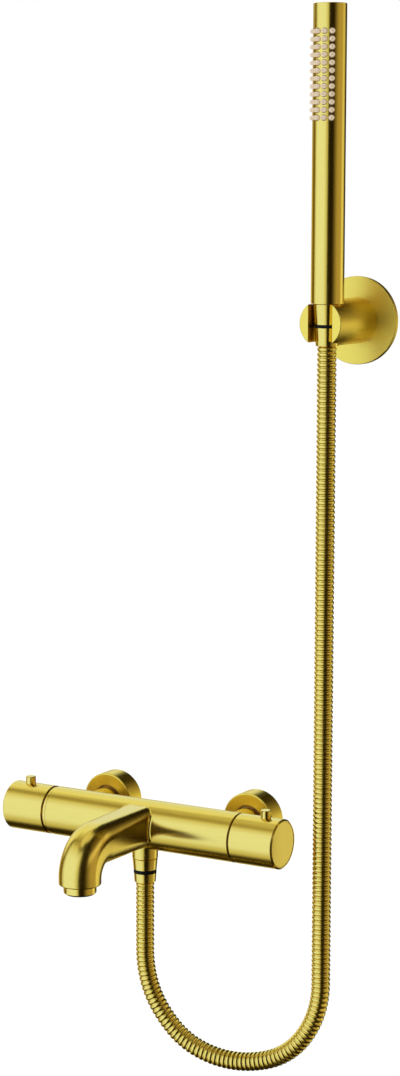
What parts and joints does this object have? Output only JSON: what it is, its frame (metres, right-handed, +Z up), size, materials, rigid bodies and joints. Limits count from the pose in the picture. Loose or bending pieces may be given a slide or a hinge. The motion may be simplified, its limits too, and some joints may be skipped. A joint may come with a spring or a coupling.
{
  "type": "thermostatic mixer shower",
  "caption": "Wall-mounted round-bar thermostatic bath and shower mixer with a cast spout, ribbed hose, slim cylindrical hand shower and slotted wall holder.",
  "frame": {"origin": "on the wall surface, midway between the two inlets, level with the bar's axis", "axes": "+X along the bar to the user's right, +Z up, -Y out of the wall towards the user"},
  "size_m": [0.35, 0.2242, 0.9324],
  "materials": {
    "brushed_gold": "brushed gold coating on brass",
    "gold_hose": "polished gold coating on the hose's ribs",
    "inner_brass": "plain turned brass",
    "steel": "bright steel",
    "black_plastic": "black ring",
    "white_plastic": "white moulded plastic",
    "seal_rubber": "black rubber",
    "silicone": "pale silicone",
    "ceramic": "lapped ceramic"
  },
  "bodies": {
    "root": {"mixer_body": "brushed_gold", "aerator_housing": "brushed_gold", "aerator_insert": "white_plastic", "aerator_washer": "seal_rubber", "inlet_union_nuts": "brushed_gold", "inlet_filter_washers": "seal_rubber", "inlet_check_valves": "white_plastic", "hot_wall_union": "inner_brass", "cold_wall_union": "inner_brass", "hot_flange": "brushed_gold", "cold_flange": "brushed_gold", "hot_inlet_tail": "inner_brass", "cold_inlet_tail": "inner_brass", "flow_cartridge": "white_plastic", "flow_fixed_disc": "ceramic", "flow_cartridge_nut": "inner_brass", "temperature_cartridge_nut": "inner_brass", "flow_spindle_seal": "seal_rubber", "temperature_spindle_seal": "seal_rubber", "flow_stop_ring": "brushed_gold", "temperature_stop_ring": "inner_brass", "thermostat_housing": "black_plastic", "outlet_nipple": "inner_brass", "mixer_hose_nut": "brushed_gold", "mixer_swivel_ring": "black_plastic", "mixer_hose_sleeve": "brushed_gold", "shower_hose": "gold_hose", "holder_arm": "brushed_gold", "holder_plate": "brushed_gold", "holder_bracket": "steel", "bracket_screws": "steel", "holder_grub_screw": "steel"},
    "flow_control": {"flow_knob": "brushed_gold", "flow_knob_cap": "brushed_gold", "flow_knob_screw": "steel", "flow_spindle": "inner_brass", "flow_turning_disc": "ceramic", "flow_button_spring": "steel"},
    "flow_stop_button": {"flow_button": "brushed_gold"},
    "temperature_control": {"temperature_knob": "brushed_gold", "temperature_knob_cap": "brushed_gold", "temperature_knob_screw": "steel", "temperature_spindle": "inner_brass", "temperature_button_spring": "steel"},
    "temperature_stop_button": {"temperature_button": "brushed_gold"},
    "thermostat_core": {"thermostat_shuttle": "white_plastic", "wax_element": "inner_brass", "thermostat_spring": "steel"},
    "hose_end": {"handset_hose_sleeve": "brushed_gold", "handset_swivel_ring": "black_plastic"},
    "hand_shower": {"handset_hose_nut": "brushed_gold", "handset_washer": "seal_rubber", "handset_connector": "inner_brass", "flow_limiter": "white_plastic", "handset_inner_tube": "white_plastic", "handset_tube": "brushed_gold", "handset_top_cap": "brushed_gold", "spray_nozzles": "silicone"}
  },
  "joints": [
    {"name": "flow_turn", "type": "hinge", "parent": "root", "child": "flow_control", "pos_m": [-0.12, -0.074, 0], "axis": [-1, 0, 0], "range_deg": [-90, 90]},
    {"name": "flow_button_press", "type": "slide", "parent": "flow_control", "child": "flow_stop_button", "axis": [0, 0, -1], "range_m": [0, 0.0025], "stiffness_N_per_m": 800, "springref_m": -0.001, "deforming": ["flow_button_spring"]},
    {"name": "temperature_turn", "type": "hinge", "parent": "root", "child": "temperature_control", "pos_m": [0.12, -0.074, 0], "axis": [1, 0, 0], "range_deg": [-180, 60]},
    {"name": "temperature_button_press", "type": "slide", "parent": "temperature_control", "child": "temperature_stop_button", "axis": [0, 0, -1], "range_m": [0, 0.0025], "stiffness_N_per_m": 800, "springref_m": -0.001, "deforming": ["temperature_button_spring"]},
    {"name": "thermostat_shift", "type": "slide", "parent": "root", "child": "thermostat_core", "axis": [1, 0, 0], "range_m": [-0.0018, 0.0006]},
    {"name": "handset_lift", "type": "slide", "parent": "root", "child": "hose_end", "axis": [0, 0, 1], "range_m": [0, 0.06]},
    {"name": "handset_turn", "type": "hinge", "parent": "hose_end", "child": "hand_shower", "pos_m": [0.171, -0.0585, 0.46], "axis": [0, 0, 1], "continuous": true}
  ],
  "couplings": [
    {"joint": "thermostat_shift", "follows": "temperature_turn", "m_per_rad": 0.000572}
  ]
}
